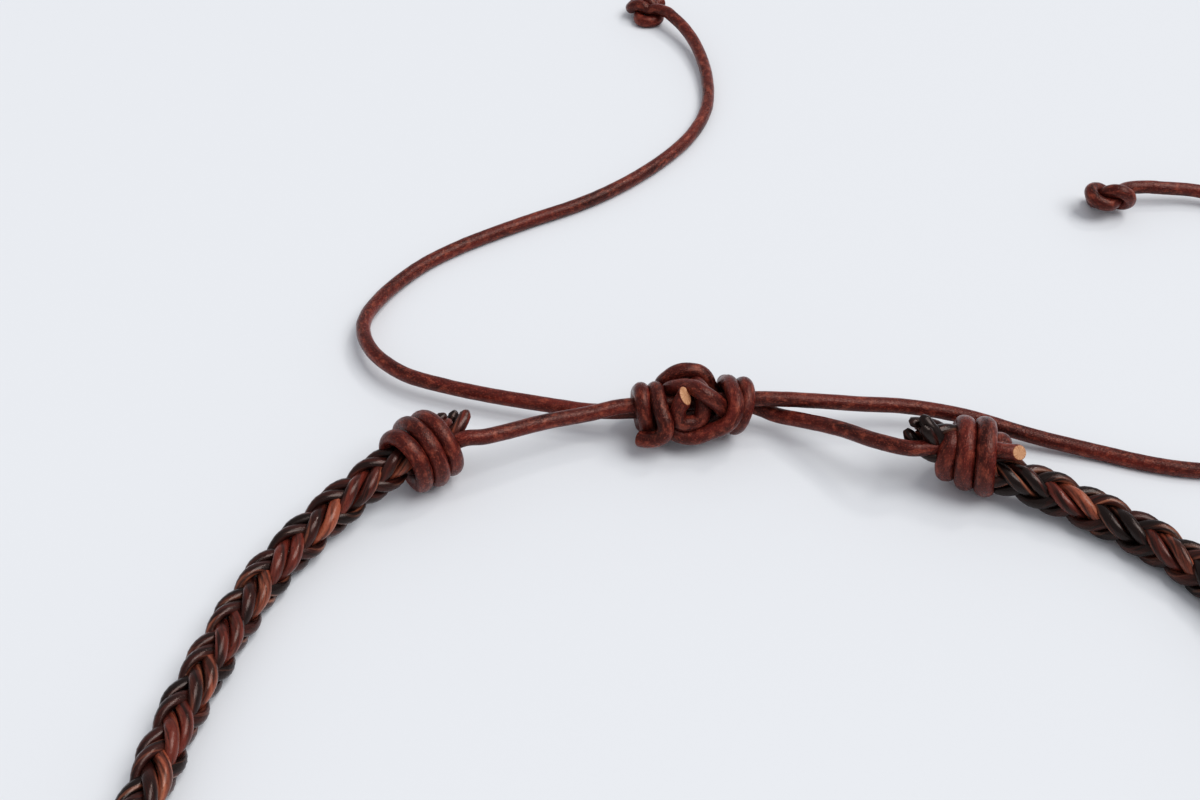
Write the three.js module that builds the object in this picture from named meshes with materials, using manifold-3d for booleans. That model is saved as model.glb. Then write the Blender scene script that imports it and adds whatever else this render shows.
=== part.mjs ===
// A braided leather cord necklace with a sliding knot, lying open on a table.
// Millimetres, +Z up. The table is the plane z = 0, and the closure is at +Y, the far side of the loop.
// The origin is on the table, under the middle of the loop.

import * as THREE from 'three';
import { mergeVertices } from 'three/addons/utils/BufferGeometryUtils.js';
import loadManifold from 'manifold-3d';

// Driving dimensions

const CORD_RADIUS = 1.0; // the round leather cord that ties, wraps and knots
const CORD_SIDES = 8;
const CORD_STEPS = 52;
const BRAID_RADIUS = 2.6; // over the plaited strands, to the flats of its section
const BRAID_SIDES = 12;
const BRAID_STEPS = 80;
const GAP = 0.3; // between neighbours that touch on the real necklace

const WRAP_BORE = 3.0; // clears the corners of the braid's section
const WRAP_RADIUS = WRAP_BORE + 2 * CORD_RADIUS;
const WRAP_TURNS = 3;
const WRAP_TURN_WIDTH = 2.45; // the cord is pressed flat where it is pulled tight round the braid
const WRAP_TAIL_LENGTH = 3.4;
const WRAP_TAIL_LEAN = 50; // degrees up from the table, on the side away from the closure
const TURN_ARC_STEPS = 6;
const ROUND_SIDES = 24;

const KNOT_BORE = 2.4; // two tie cords lie in it, one over the other
const KNOT_RADIUS = KNOT_BORE + 2 * CORD_RADIUS;
const KNOT_TURN_RADIUS = KNOT_BORE + CORD_RADIUS; // to the middle of a turn's cord
const KNOT_INNER_TURN = 4.4; // along the tie cords, from the knot's middle
const KNOT_OUTER_TURN = 6.3;
const KNOT_TURN_SIDES = 8;

const STOPPER_RADIUS = 3.0;
const STOPPER_LENGTH = 6.4;
const STOPPER_SIDES = 10;

const STEPS_PER_POINT = 3; // in a short stretch of knotting cord
const LENGTH_DIVISIONS = 1000; // for even steps along a curve
const WELD_DISTANCE = 1e-4;

const LEATHER_DARK = 0x38201a;
const LEATHER_RED = 0x6d3525;
const ROUGHNESS = 0.5;

// Where the hard points of the closure lie. A turn is in degrees from +X, seen from above.

const LEFT_WRAP = { x: -35.7, y: 68.8, turn: 36 };
const RIGHT_WRAP = { x: 30.9, y: 67.2, turn: -15 };
const SLIDING_KNOT = { x: -2.5, y: 77.2, turn: 4 };

// Stretches of cord in the sliding knot, as rows along, across and above its middle

const KNOT_BACK_ARC = [
  [-KNOT_INNER_TURN, 1.6, 3.0],
  [-2.4, 2.6, 3.6],
  [0, 2.9, 3.9],
  [2.4, 2.6, 3.6],
  [KNOT_INNER_TURN, 1.6, 3.0],
];
const KNOT_FRONT_LOOP = [
  [-KNOT_INNER_TURN, -3.1, -1.3],
  [-1.5, -KNOT_TURN_RADIUS, -1.9],
  [1.5, -KNOT_TURN_RADIUS, -1.9],
  [KNOT_INNER_TURN, -3.1, -1.3],
];
const KNOT_STUB = [
  [-2.0, -KNOT_TURN_RADIUS, -1.6],
  [-1.4, -3.7, 0.2],
  [-0.5, -3.2, 2.6],
];

// The cut tail of a stopper knot, as rows along, across and above the end of its cord

const STOPPER_TAIL = [
  [4.0, -0.6, 0.2],
  [5.8, -1.2, 0.0],
  [7.8, -2.0, -0.4],
];

// Routes, as rows of x, y and the height of the middle of the cord

const BRAID_ROUTE = [
  [-31.0, 72.2, 5.0],
  [-35.7, 68.8, 5.0],
  [-38.6, 66.6, 5.0],
  [-42.8, 63.0, 4.2],
  [-46.2, 59.6, 3.4],
  [-49.5, 55.3, 2.9],
  [-52.3, 50.8, 2.65],
  [-54.7, 45.4, 2.6],
  [-57.2, 37.7, 2.6],
  [-59.4, 29.4, 2.6],
  [-61.2, 18.5, 2.6],
  [-63.4, 4.0, 2.6],
  [-64.8, -12.0, 2.6],
  [-63.6, -28.5, 2.6],
  [-58.6, -44.6, 2.6],
  [-50.0, -58.6, 2.6],
  [-38.2, -69.4, 2.6],
  [-24.2, -76.0, 2.6],
  [-8.6, -78.6, 2.6],
  [7.4, -78.4, 2.6],
  [22.8, -75.2, 2.6],
  [36.9, -68.4, 2.6],
  [48.6, -58.0, 2.6],
  [57.4, -44.8, 2.6],
  [62.8, -30.0, 2.6],
  [65.2, -14.0, 2.6],
  [65.8, 2.0, 2.6],
  [65.2, 17.0, 2.6],
  [63.4, 31.0, 2.6],
  [60.8, 41.5, 2.6],
  [57.0, 49.2, 2.6],
  [52.3, 54.4, 2.65],
  [46.2, 59.3, 2.8],
  [40.6, 62.7, 3.5],
  [35.4, 65.85, 4.9],
  [30.9, 67.2, 5.0],
  [24.9, 68.8, 5.0],
];

const LEFT_TIE_ROUTE = [
  [-30.3, 68.4, 7.1],
  [-28.4, 68.8, 6.9],
  [-25.6, 70.0, 6.6],
  [-20.9, 72.3, 6.1],
  [-15.5, 74.5, 5.4],
  [-11.0, 75.9, 5.4],
  [-2.5, 76.7, 5.4],
  [6.0, 77.3, 5.4],
  [11.5, 77.4, 5.1],
  [19.3, 77.5, 4.3],
  [25.1, 77.7, 3.7],
  [32.7, 76.7, 2.9],
  [40.8, 74.2, 1.9],
  [49.4, 71.9, 1.1],
  [55.2, 70.0, 1.0],
  [60.6, 68.9, 1.0],
  [69.5, 68.8, 1.0],
  [79.5, 72.0, 1.0],
  [87.5, 79.5, 1.0],
  [92.0, 89.5, 1.0],
  [93.5, 100.5, 1.0],
  [91.8, 111.5, 1.0],
  [86.3, 120.5, 1.1],
  [77.0, 126.0, 1.8],
  [68.5, 126.6, 2.9],
];

const RIGHT_TIE_ROUTE = [
  [26.2, 65.9, 8.1],
  [23.8, 65.9, 7.8],
  [20.0, 68.2, 6.8],
  [16.0, 71.8, 5.4],
  [12.0, 74.7, 4.0],
  [8.8, 76.8, 2.95],
  [5.0, 78.2, 3.4],
  [-2.5, 77.7, 3.4],
  [-11.0, 77.2, 3.3],
  [-15.3, 77.5, 3.1],
  [-22.4, 79.1, 3.0],
  [-27.0, 80.2, 3.0],
  [-33.6, 82.1, 3.0],
  [-40.1, 84.9, 3.0],
  [-44.6, 89.7, 2.8],
  [-46.3, 95.5, 2.3],
  [-44.6, 102.4, 1.4],
  [-39.8, 109.7, 1.0],
  [-34.4, 114.4, 1.0],
  [-25.8, 119.9, 1.0],
  [-17.0, 124.9, 1.0],
  [-11.0, 129.4, 1.0],
  [-4.7, 135.8, 1.0],
  [0.2, 142.8, 1.0],
  [3.2, 151.0, 1.0],
  [4.2, 160.0, 1.4],
  [2.9, 168.4, 2.0],
  [0.5, 173.7, 2.6],
  [-2.3, 177.5, 3.0],
];

const manifold = await loadManifold();
manifold.setup();

const UP = new THREE.Vector3(0, 0, 1);

// A curve through the route's points whose section stays upright, so that a flat of it lies on the table.
class LaidCurve extends THREE.CatmullRomCurve3 {
  constructor(route) {
    super(route.map((row) => new THREE.Vector3(...row)), false, 'centripetal');
    this.arcLengthDivisions = LENGTH_DIVISIONS;
  }

  computeFrenetFrames(segments) {
    const frames = { tangents: [], normals: [], binormals: [] };
    for (let i = 0; i <= segments; i++) {
      const tangent = this.getTangentAt(i / segments);
      const side = new THREE.Vector3().crossVectors(UP, tangent).normalize();
      const normal = new THREE.Vector3().crossVectors(tangent, side);
      frames.tangents.push(tangent);
      frames.normals.push(normal);
      frames.binormals.push(new THREE.Vector3().crossVectors(tangent, normal));
    }
    return frames;
  }
}

// A regular section with a flat at the bottom, measured to its corners.
function section(cornerRadius, sides) {
  const points = [];
  for (let i = 0; i < sides; i++) {
    const angle = ((i + 0.5) / sides) * 2 * Math.PI;
    points.push(new THREE.Vector2(cornerRadius * Math.cos(angle), cornerRadius * Math.sin(angle)));
  }
  return new THREE.Shape(points);
}

function tube(curve, cornerRadius, sides, steps) {
  return new THREE.ExtrudeGeometry(section(cornerRadius, sides), {
    steps,
    extrudePath: curve,
    bevelEnabled: false,
  });
}

// A stretch of knotting cord through a few points.
function strand(points) {
  return tube(new LaidCurve(points), CORD_RADIUS, CORD_SIDES, STEPS_PER_POINT * points.length);
}

// One turn of cord round the X axis, as a ring whose middle is at the given place along it.
function ring(along) {
  const profile = [];
  for (let i = 0; i <= KNOT_TURN_SIDES; i++) {
    const angle = (i / KNOT_TURN_SIDES) * 2 * Math.PI;
    const radius = KNOT_TURN_RADIUS + CORD_RADIUS * Math.cos(angle);
    profile.push(new THREE.Vector2(radius, along + CORD_RADIUS * Math.sin(angle)));
  }
  return roundX(profile, ROUND_SIDES);
}

// Spins a profile of (radius, along) points round the X axis.
function roundX(profile, sides) {
  const geometry = new THREE.LatheGeometry(profile, sides);
  geometry.rotateZ(-Math.PI / 2);
  return geometry;
}

function toSolid(geometry) {
  const bare = geometry.index ? geometry.toNonIndexed() : geometry.clone();
  bare.deleteAttribute('normal');
  bare.deleteAttribute('uv');
  const merged = mergeVertices(bare, WELD_DISTANCE);
  return new manifold.Manifold(new manifold.Mesh({
    numProp: 3,
    vertProperties: new Float32Array(merged.attributes.position.array),
    triVerts: new Uint32Array(merged.index.array),
  }));
}

function join(geometries) {
  const solids = geometries.map(toSolid);
  const whole = solids.reduce((sum, next) => sum.add(next));
  const mesh = whole.getMesh();
  const geometry = new THREE.BufferGeometry();
  geometry.setAttribute('position', new THREE.BufferAttribute(mesh.vertProperties, 3));
  geometry.setIndex(new THREE.BufferAttribute(mesh.triVerts, 1));
  geometry.computeVertexNormals();
  return geometry;
}

function piece(name, geometry, color) {
  const material = new THREE.MeshStandardMaterial({ color, roughness: ROUGHNESS, metalness: 0 });
  const mesh = new THREE.Mesh(geometry, material);
  mesh.name = name;
  return mesh;
}

// Lays a piece built round its own X axis at a place on the table, turned about the vertical.
function lay(mesh, place, height) {
  mesh.position.set(place.x, place.y, height);
  mesh.rotation.z = THREE.MathUtils.degToRad(place.turn);
  return mesh;
}

// The braid: one tube of its outer form

function braid() {
  const cornerRadius = BRAID_RADIUS / Math.cos(Math.PI / BRAID_SIDES);
  return tube(new LaidCurve(BRAID_ROUTE), cornerRadius, BRAID_SIDES, BRAID_STEPS);
}

// An end wrap: turns of cord lying side by side, with the braid's end in their bore

function wrapTurns() {
  const half = (WRAP_TURNS * WRAP_TURN_WIDTH) / 2;
  const middle = WRAP_BORE + CORD_RADIUS;
  const profile = [new THREE.Vector2(WRAP_BORE, half)];
  profile.push(new THREE.Vector2(WRAP_BORE, -half));
  for (let turn = 0; turn < WRAP_TURNS; turn++) {
    const along = (turn + 0.5) * WRAP_TURN_WIDTH - half;
    for (let i = 0; i < TURN_ARC_STEPS; i++) {
      const angle = Math.PI * (i / TURN_ARC_STEPS - 0.5);
      const radius = middle + CORD_RADIUS * Math.cos(angle);
      profile.push(new THREE.Vector2(radius, along + (WRAP_TURN_WIDTH / 2) * Math.sin(angle)));
    }
  }
  profile.push(new THREE.Vector2(middle, half));
  profile.push(profile[0].clone());
  return roundX(profile, ROUND_SIDES);
}

// The cut tail of the wrap's cord, standing out beside the braid at the top and the near side.
function wrapTail() {
  const outerFace = (WRAP_TURNS * WRAP_TURN_WIDTH) / 2;
  const lean = THREE.MathUtils.degToRad(WRAP_TAIL_LEAN);
  const away = WRAP_BORE + CORD_RADIUS + GAP / 2;
  const near = -away * Math.cos(lean);
  const high = away * Math.sin(lean);
  return strand([
    [outerFace - 2 * CORD_RADIUS, near, high],
    [outerFace, near, high],
    [outerFace + WRAP_TAIL_LENGTH, near - GAP, high],
  ]);
}

// The sliding knot: two turns at each end, joined by an arc over the back and a loop under the front

function knot() {
  const turnsAt = [-KNOT_OUTER_TURN, -KNOT_INNER_TURN, KNOT_INNER_TURN, KNOT_OUTER_TURN];
  const turns = turnsAt.map(ring);
  const stretches = [KNOT_BACK_ARC, KNOT_FRONT_LOOP, KNOT_STUB].map(strand);
  return join([...turns, ...stretches]);
}

// A stopper knot: a turn round the cord's end, its round body, and the cut tail

function stopper() {
  const body = [];
  for (let i = 0; i <= STOPPER_SIDES; i++) {
    const angle = Math.PI * (i / STOPPER_SIDES - 0.5);
    const radius = i % STOPPER_SIDES === 0 ? 0 : STOPPER_RADIUS * Math.cos(angle);
    body.push(new THREE.Vector2(radius, (STOPPER_LENGTH / 2) * (1 + Math.sin(angle))));
  }
  return join([roundX(body, ROUND_SIDES), strand(STOPPER_TAIL)]);
}

// Puts a stopper knot on the end of a tie cord, in line with it.
function onEndOf(curve, mesh) {
  const end = curve.getPoint(1);
  const heading = curve.getTangent(1);
  mesh.position.set(end.x, end.y, STOPPER_RADIUS);
  mesh.position.add(new THREE.Vector3(heading.x, heading.y, 0).setLength(GAP));
  mesh.rotation.z = Math.atan2(heading.y, heading.x);
  return mesh;
}

const leftTie = new LaidCurve(LEFT_TIE_ROUTE);
const rightTie = new LaidCurve(RIGHT_TIE_ROUTE);
const tieCord = (curve) => tube(curve, CORD_RADIUS, CORD_SIDES, CORD_STEPS);
const rightWrap = join([wrapTurns(), wrapTail()]);

const necklace = new THREE.Group();
necklace.add(
  piece('braid', braid(), LEATHER_DARK),
  lay(piece('left_end_wrap', wrapTurns(), LEATHER_RED), LEFT_WRAP, WRAP_RADIUS),
  lay(piece('right_end_wrap', rightWrap, LEATHER_RED), RIGHT_WRAP, WRAP_RADIUS),
  piece('left_tie_cord', tieCord(leftTie), LEATHER_RED),
  piece('right_tie_cord', tieCord(rightTie), LEATHER_RED),
  lay(piece('sliding_knot', knot(), LEATHER_RED), SLIDING_KNOT, KNOT_RADIUS),
  onEndOf(leftTie, piece('left_tie_stopper', stopper(), LEATHER_RED)),
  onEndOf(rightTie, piece('right_tie_stopper', stopper(), LEATHER_RED)),
);

export default necklace;
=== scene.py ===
# %% [markdown]
# # A braided leather necklace
# The loop is a round plait of leather strands. Leather cord is whipped round both of its ends and runs on
# as two ties, which pass through a sliding knot and end in stopper knots. The measured construction is
# loaded first, as a fixed frame, and each piece made in this lesson lies where its solid lies in that
# frame.

# %% Load the measured frame
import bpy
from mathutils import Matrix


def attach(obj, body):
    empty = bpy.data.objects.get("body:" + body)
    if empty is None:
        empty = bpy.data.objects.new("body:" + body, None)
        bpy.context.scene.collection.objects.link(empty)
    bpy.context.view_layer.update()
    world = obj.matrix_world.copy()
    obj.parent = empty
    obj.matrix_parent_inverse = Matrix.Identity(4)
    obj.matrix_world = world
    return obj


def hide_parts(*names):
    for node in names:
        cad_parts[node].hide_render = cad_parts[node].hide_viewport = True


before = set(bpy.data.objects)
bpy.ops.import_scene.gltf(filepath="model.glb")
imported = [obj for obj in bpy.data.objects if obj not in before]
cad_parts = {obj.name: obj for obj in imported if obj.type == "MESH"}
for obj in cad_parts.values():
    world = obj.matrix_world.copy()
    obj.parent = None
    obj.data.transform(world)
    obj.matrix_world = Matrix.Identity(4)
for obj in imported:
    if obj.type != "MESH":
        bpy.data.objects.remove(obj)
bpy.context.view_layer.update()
print("solids in the frame:", len(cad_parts))

# %% [markdown]
# ## Camera
# The picture was taken from in front of the closure, looking down at it. A camera could be placed by eye,
# but here its place was worked out from how the round cord shrinks towards the far end, so it is written
# as numbers. The lens is a plain 50 mm on a 36 mm sensor, without shift.

# %% Camera
import math
import bpy

MM = 0.001
LENS = 50.0
SENSOR = 36.0
CAMERA_PLACE = (-14.0 * MM, -78.0 * MM, 150.0 * MM)
CAMERA_DROP = math.radians(43.0)
NEAREST = 5.0 * MM

camera_data = bpy.data.cameras.new("photo_camera")
camera_data.lens = LENS
camera_data.sensor_width = SENSOR
camera_data.clip_start = NEAREST
camera = bpy.data.objects.new("photo_camera", camera_data)
camera.location = CAMERA_PLACE
camera.rotation_euler = (math.pi / 2 - CAMERA_DROP, 0.0, 0.0)
bpy.context.scene.collection.objects.link(camera)
bpy.context.scene.camera = camera
print("camera looks down by", round(math.degrees(CAMERA_DROP)), "degrees")

# %% [markdown]
# ## The routes of the two ties
# Each tie is one length of 2 mm round leather cord. It leaves its wrap, dips to the sliding knot, crosses
# to the other side and lies on the table in an easy curve up to its stopper knot. The points repeat the
# measured route in millimetres. A curve could be drawn by hand instead, but a curve through points
# keeps the cord on the solid that it stands for.

# %% Tie routes
LEFT_TIE_ROUTE = [
    (-30.3, 68.4, 7.1), (-28.4, 68.8, 6.9), (-25.6, 70.0, 6.6), (-20.9, 72.3, 6.1), (-15.5, 74.5, 5.4),
    (-11.0, 75.9, 5.4), (-2.5, 76.7, 5.4), (6.0, 77.3, 5.4), (11.5, 77.4, 5.1), (19.3, 77.5, 4.3),
    (25.1, 77.7, 3.7), (32.7, 76.7, 2.9), (40.8, 74.2, 1.9), (49.4, 71.9, 1.1), (55.2, 70.0, 1.0),
    (60.6, 68.9, 1.0), (69.5, 68.8, 1.0), (79.5, 72.0, 1.0), (87.5, 79.5, 1.0), (92.0, 89.5, 1.0),
    (93.5, 100.5, 1.0), (91.8, 111.5, 1.0), (86.3, 120.5, 1.1), (77.0, 126.2, 2.1), (68.5, 126.6, 2.9),
]
RIGHT_TIE_ROUTE = [
    (26.2, 65.9, 8.1), (23.8, 65.9, 7.8), (20.0, 68.2, 6.8), (16.0, 71.8, 5.4), (12.0, 74.7, 4.0),
    (8.8, 76.8, 2.95), (5.0, 78.2, 3.4), (-2.5, 77.7, 3.4), (-11.0, 77.2, 3.3), (-15.3, 77.5, 3.1),
    (-22.4, 79.1, 3.0), (-27.0, 80.2, 3.0), (-33.6, 82.1, 3.0), (-40.1, 84.9, 3.0), (-44.6, 89.7, 2.8),
    (-46.3, 95.5, 2.3), (-44.6, 102.4, 1.4), (-39.8, 109.7, 1.0), (-34.4, 114.4, 1.0), (-25.8, 119.9, 1.0),
    (-17.0, 124.9, 1.0), (-11.0, 129.4, 1.0), (-4.7, 135.8, 1.0), (0.2, 142.8, 1.0), (3.2, 151.0, 1.0),
    (3.6, 160.0, 1.4), (2.2, 168.4, 2.0), (0.1, 173.7, 2.6), (-2.3, 177.5, 3.0),
]
print("points on the ties:", len(LEFT_TIE_ROUTE), "and", len(RIGHT_TIE_ROUTE))

# %% [markdown]
# A cord is cut to a length, so its path has to be measured along its bends. Rings that lie an even step
# apart also give an even mesh, which a curve's own parameter would not.

# %% Even steps along a path
import numpy as np


def path_length(path):
    """Length of a path in its own unit."""
    return float(np.linalg.norm(np.diff(path, axis=0), axis=1).sum())


def evenly(path, spacing):
    """Places at an even spacing along a path."""
    steps = np.linalg.norm(np.diff(path, axis=0), axis=1)
    run = np.concatenate([[0.0], np.cumsum(steps)])
    count = max(int(round(run[-1] / spacing)), 2)
    stops = np.linspace(0.0, run[-1], count + 1)
    return np.column_stack([np.interp(stops, run, path[:, axis]) for axis in range(3)])


route_length = path_length(np.array(LEFT_TIE_ROUTE))
print("straight from point to point the left tie is", round(route_length, 1), "mm")

# %% [markdown]
# Real cord bends smoothly. A centripetal curve passes through every point without the loops and
# overshoots that an even one makes where points lie close together. The start of each tie is led a little
# further in, under the turns of its wrap, so that no end of it shows there.

# %% Smooth paths of the ties
STEPS_BETWEEN = 40
CORD_SPACING = 0.4
LEFT_TIE_START = [(-32.9, 68.0, 6.3)]
RIGHT_TIE_START = [(28.2, 67.4, 6.7), (26.4, 66.85, 7.05), (23.8, 66.3, 7.4)]
RIGHT_POINTS_REPLACED = 2


def smooth_path(points, spacing):
    """Evenly spaced places on the centripetal curve through the points."""
    points = np.array(points, float)
    points = np.vstack([2 * points[0] - points[1], points, 2 * points[-1] - points[-2]])
    share = np.linspace(0.0, 1.0, STEPS_BETWEEN, endpoint=False)[:, None]
    curve = []
    for before, start, end, after in zip(points, points[1:], points[2:], points[3:]):
        steps = (start - before, end - start, after - end)
        gap_in, gap, gap_out = (math.sqrt(np.linalg.norm(step)) for step in steps)
        leave = ((start - before) / gap_in - (end - before) / (gap_in + gap)) * gap + end - start
        arrive = ((after - end) / gap_out - (after - start) / (gap + gap_out)) * gap + end - start
        curve.append((2 * share**3 - 3 * share**2 + 1) * start + (share**3 - 2 * share**2 + share) * leave
                     + (3 * share**2 - 2 * share**3) * end + (share**3 - share**2) * arrive)
    return evenly(np.vstack(curve + [points[-2:-1]]), spacing)


left_tie_path = smooth_path(LEFT_TIE_START + LEFT_TIE_ROUTE, CORD_SPACING)
right_tie_path = smooth_path(RIGHT_TIE_START + RIGHT_TIE_ROUTE[RIGHT_POINTS_REPLACED:], CORD_SPACING)
print("the left tie is", round(path_length(left_tie_path), 1), "mm long")
print("the right tie is", round(path_length(right_tie_path), 1), "mm long")

# %% [markdown]
# ## Writing nodes in a script
# Geometry Nodes and shader nodes are usually drawn in an editor. In a script they stay readable with one
# small helper that adds a node, sets its properties, and links or sets its inputs. Short ones on top of
# it write sums, vector sums, scaled vectors, mixes and ranges.

# %% Node helpers
def add(tree, kind, inputs=None, **settings):
    """Adds a node, sets its properties, and links or sets its inputs by name or number."""
    made = tree.nodes.new(kind)
    for label, value in settings.items():
        setattr(made, label, value)
    for label, value in (inputs or {}).items():
        if isinstance(value, bpy.types.NodeSocket):
            tree.links.new(value, made.inputs[label])
        else:
            made.inputs[label].default_value = value
    return made


def out(tree, kind, inputs=None, **settings):
    """Adds a node and gives its first output."""
    return add(tree, kind, inputs, **settings).outputs[0]


def calc(tree, operation, first, second=0.0):
    """One sum on numbers."""
    return out(tree, "ShaderNodeMath", {0: first, 1: second}, operation=operation)


def on_vectors(tree, operation, first, second=(0.0, 0.0, 0.0)):
    """One sum on vectors that gives a vector."""
    return out(tree, "ShaderNodeVectorMath", {0: first, 1: second}, operation=operation)


def scaled(tree, direction, amount):
    """A vector made longer or shorter."""
    return out(tree, "ShaderNodeVectorMath", {0: direction, "Scale": amount}, operation="SCALE")


print("helpers for sums are ready")

# %% [markdown]
# A mix node has its own pair of inputs for numbers, vectors and colours, so the helper looks them up. A
# range node turns any value into a share from none to all, straight or with soft ends, and never goes
# past them.

# %% Mixes and ranges
# Numbers of the first input, the second input and the output for each kind of mix.
MIX_SOCKETS = {"FLOAT": (2, 3, 0), "VECTOR": (4, 5, 1), "RGBA": (6, 7, 2)}


def mixed(tree, kind, share, first, second):
    """Mixes two numbers, vectors or colours by a share."""
    first_socket, second_socket, result = MIX_SOCKETS[kind]
    inputs = {0: share, first_socket: first, second_socket: second}
    return add(tree, "ShaderNodeMix", inputs, data_type=kind).outputs[result]


def between(tree, value, low, high, out_low=0.0, out_high=1.0, interpolation="LINEAR"):
    """Spreads a value from one range to another, without going past the ends."""
    inputs = {0: value, 1: low, 2: high, 3: out_low, 4: out_high}
    return out(tree, "ShaderNodeMapRange", inputs, interpolation_type=interpolation)


print("kinds of mix:", len(MIX_SOCKETS))

# %% [markdown]
# A tree's sizes are named inputs, so that one tree serves several pieces. After a tree has run on its
# line, the evaluated result is copied to a plain mesh at the origin and the line is thrown away.

# %% Trees and the pieces they make
def new_tree(name, sizes):
    """An empty Geometry Nodes tree with named inputs; gives the tree, its inputs and its output."""
    tree = bpy.data.node_groups.new(name, "GeometryNodeTree")
    tree.interface.new_socket("Geometry", in_out="INPUT", socket_type="NodeSocketGeometry")
    for label, kind in sizes.items():
        tree.interface.new_socket(label, in_out="INPUT", socket_type="NodeSocket" + kind)
    tree.interface.new_socket("Geometry", in_out="OUTPUT", socket_type="NodeSocketGeometry")
    return tree, tree.nodes.new("NodeGroupInput").outputs, tree.nodes.new("NodeGroupOutput").inputs[0]


def run_tree(name, line, tree, values):
    """Runs a tree on a line and keeps what it makes as a plain mesh object at the origin."""
    source = bpy.data.objects.new(name + "_line", line)
    bpy.context.scene.collection.objects.link(source)
    modifier = source.modifiers.new(tree.name, "NODES")
    modifier.node_group = tree
    for socket in tree.interface.items_tree:
        if socket.in_out == "INPUT" and socket.name in values:
            modifier[socket.identifier] = values[socket.name]
    evaluated = source.evaluated_get(bpy.context.evaluated_depsgraph_get())
    mesh = bpy.data.meshes.new_from_object(evaluated)
    source.modifiers.remove(modifier)
    bpy.data.objects.remove(source)
    bpy.data.meshes.remove(line)
    mesh.name = name
    piece = bpy.data.objects.new(name, mesh)
    bpy.context.scene.collection.objects.link(piece)
    mesh.calc_loop_triangles()
    print(name, "has", len(mesh.loop_triangles), "triangles")
    return piece


print("trees can be made and run")

# %% [markdown]
# ## A cord as a sweep
# A cord is a round or slightly flattened section swept along its line. A curve object with a bevel would
# give the same tube, but the sweep in Geometry Nodes can also remember where each point lies on the
# straightened cord. The leather's streaks and grain follow that memory, as grain follows a real cord
# round its bends.

# %% Sweep used by every cord and strand
def keep(tree, geometry, label, value, kind):
    """Stores a value on every point, under a name that a material can read."""
    inputs = {"Geometry": geometry, "Name": label, "Value": value}
    return out(tree, "GeometryNodeStoreNamedAttribute", inputs, data_type=kind)


def kept(tree, label, kind):
    """Outputs of a value that was stored before."""
    return add(tree, "GeometryNodeInputNamedAttribute", {"Name": label}, data_type=kind).outputs


def sweep(tree, line, sizes, scale, start, capped=False):
    """Sweeps a section along a line; x of the section is its outer side, and start moves the grain."""
    circle = out(tree, "GeometryNodeCurvePrimitiveCircle", {"Resolution": sizes["Sides"], "Radius": 1.0})
    corner = out(tree, "GeometryNodeInputPosition")
    circle = keep(tree, circle, "section", corner, "FLOAT_VECTOR")
    size = out(tree, "ShaderNodeCombineXYZ", {0: sizes["Thickness"], 1: sizes["Width"], 2: 1.0})
    half_size = scaled(tree, size, 0.5)
    circle = out(tree, "GeometryNodeTransform", {"Geometry": circle, "Scale": half_size})
    run = add(tree, "GeometryNodeSplineParameter").outputs["Length"]
    line = keep(tree, line, "along", calc(tree, "ADD", run, start), "FLOAT")
    tube = out(tree, "GeometryNodeCurveToMesh",
               {"Curve": line, "Profile Curve": circle, "Scale": scale, "Fill Caps": capped})
    across = on_vectors(tree, "MULTIPLY", kept(tree, "section", "FLOAT_VECTOR")["Attribute"], half_size)
    along = out(tree, "ShaderNodeCombineXYZ", {2: kept(tree, "along", "FLOAT")["Attribute"]})
    straight = scaled(tree, on_vectors(tree, "ADD", across, along), 1.0 / MM)
    return keep(tree, tube, "straight", straight, "FLOAT_VECTOR")


print("the sweep is ready")

# %% [markdown]
# No leather cord is quite even, so low lumps are added along the straightened cord. Where a cord rests on
# the table it is pressed flat, not sunk into it. The rings that close an end are merged, and the leather
# is set last.

# %% Finish of every cord and strand
NOISE_MIDDLE = 0.5
WELD = 0.002 * MM


def finish_tree(tree, tube, sizes, output):
    """Makes a tube a little uneven, flattens it where it rests, closes its ends and gives it its leather."""
    place = kept(tree, "straight", "FLOAT_VECTOR")["Attribute"]
    lumps = out(tree, "ShaderNodeTexNoise", {"Vector": place, "Scale": sizes["Lump Scale"]})
    rise = calc(tree, "MULTIPLY", calc(tree, "SUBTRACT", lumps, NOISE_MIDDLE), sizes["Lump Height"])
    offset = scaled(tree, out(tree, "GeometryNodeInputNormal"), rise)
    tube = out(tree, "GeometryNodeSetPosition", {"Geometry": tube, "Offset": offset})
    spot = add(tree, "ShaderNodeSeparateXYZ", {0: out(tree, "GeometryNodeInputPosition")}).outputs
    height = calc(tree, "MAXIMUM", spot[2], 0.0)
    resting = out(tree, "ShaderNodeCombineXYZ", {0: spot[0], 1: spot[1], 2: height})
    tube = out(tree, "GeometryNodeSetPosition", {"Geometry": tube, "Position": resting})
    tube = out(tree, "GeometryNodeMergeByDistance", {"Geometry": tube, "Distance": WELD})
    tube = out(tree, "GeometryNodeSetShadeSmooth", {"Geometry": tube})
    tube = out(tree, "GeometryNodeRealizeInstances", {"Geometry": tube})
    tube = out(tree, "GeometryNodeSetMaterial", {"Geometry": tube, "Material": sizes["Leather"]})
    tree.links.new(tube, output)


print("points nearer than", WELD / MM, "mm are merged")

# %% [markdown]
# One tree then serves every plain cord: ties, wraps and knots. A cord that is pulled tight round
# something is a little flat, so a line may say which side of it is the outer one.

# %% Cord tree
SWEEP_SIZES = {"Width": "Float", "Thickness": "Float", "Sides": "Int", "Lump Scale": "Float",
               "Lump Height": "Float", "Leather": "Material"}

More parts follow.
